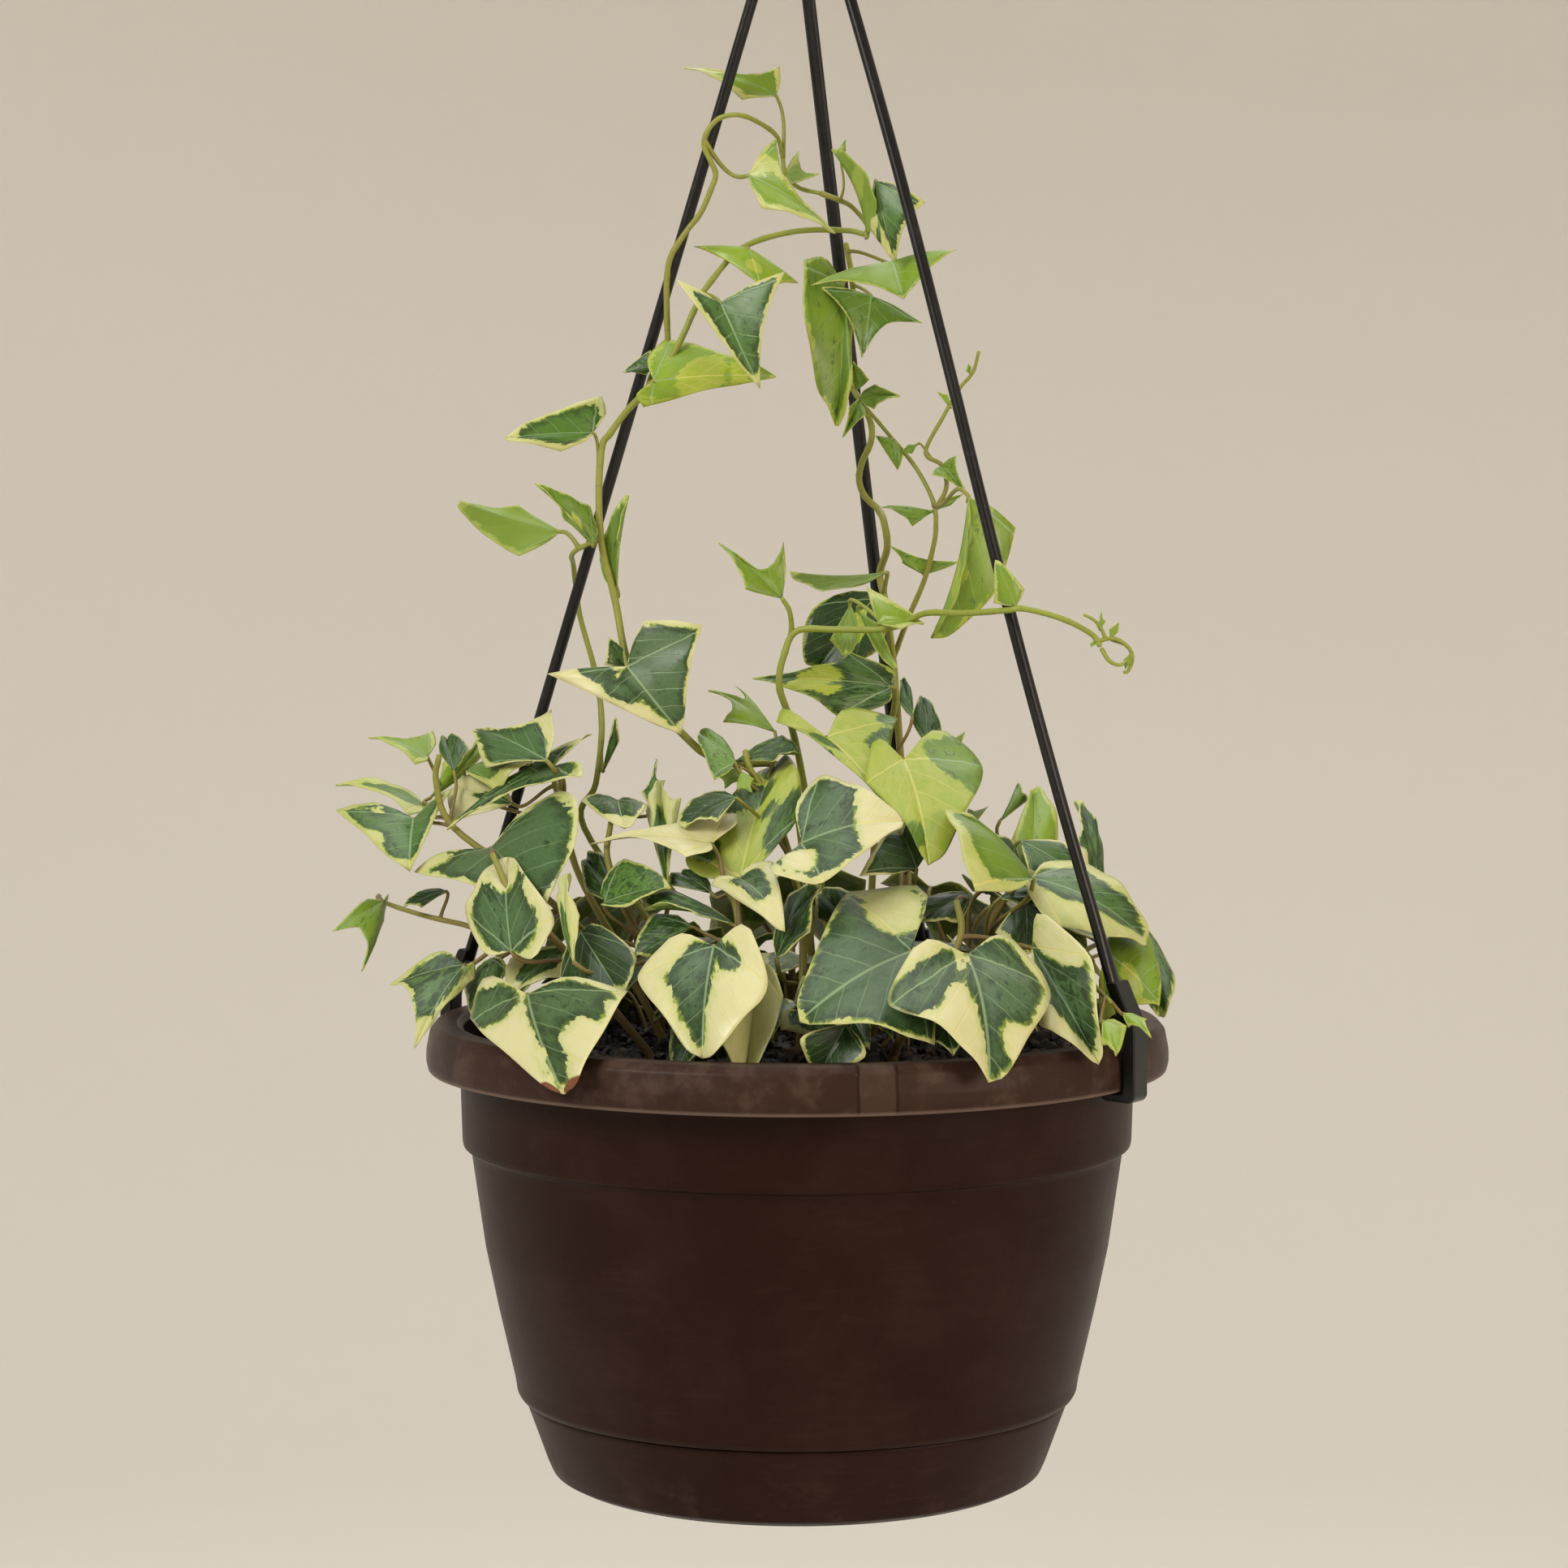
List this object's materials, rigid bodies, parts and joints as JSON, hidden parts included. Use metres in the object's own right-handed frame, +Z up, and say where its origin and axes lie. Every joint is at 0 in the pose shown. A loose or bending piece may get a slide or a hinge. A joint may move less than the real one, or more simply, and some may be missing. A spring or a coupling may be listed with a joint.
{
  "type": "potted variegated english ivy",
  "caption": "Round plastic hanging pot with a clipped-on drip tray, a strand hanger and a climbing, lobed-leaf plant with cream-edged green leaves.",
  "frame": {"origin": "on the pot's axis, at the flat underside of the drip tray", "axes": "+Z up along the pot's axis to the hook, +X to the right and +Y away from a viewer who sees the side in the picture"},
  "size_m": [0.2858, 0.2546, 0.5918],
  "materials": {
    "pot_plastic": "satin dark chocolate brown, moulded, lightly scuffed",
    "hanger_plastic": "satin near-black, moulded",
    "soil": "matte, crumbly peat and bark potting mix",
    "foliage": "waxy blue-green leaves with cream and yellow-green margins, olive to purple-brown stems"
  },
  "bodies": {
    "root": {"drip_tray": "pot_plastic", "pot": "pot_plastic", "soil": "soil", "hanger_hook": "hanger_plastic", "hanger_strand_left": "hanger_plastic", "hanger_strand_middle": "hanger_plastic", "hanger_strand_right": "hanger_plastic", "shoot_outer_left": "foliage", "shoot_upper_left": "foliage", "shoot_front_left": "foliage", "shoot_mid_left": "foliage", "shoot_centre_front": "foliage", "shoot_centre_top": "foliage", "shoot_right_centre": "foliage", "shoot_right_front": "foliage", "shoot_right_outer": "foliage", "shoot_vine_left": "foliage", "shoot_vine_middle": "foliage", "shoot_right_runner": "foliage", "shoot_centre_back": "foliage", "shoot_back_left": "foliage", "shoot_back_middle": "foliage", "shoot_back_right": "foliage", "shoot_side_right": "foliage"}
  },
  "joints": []
}
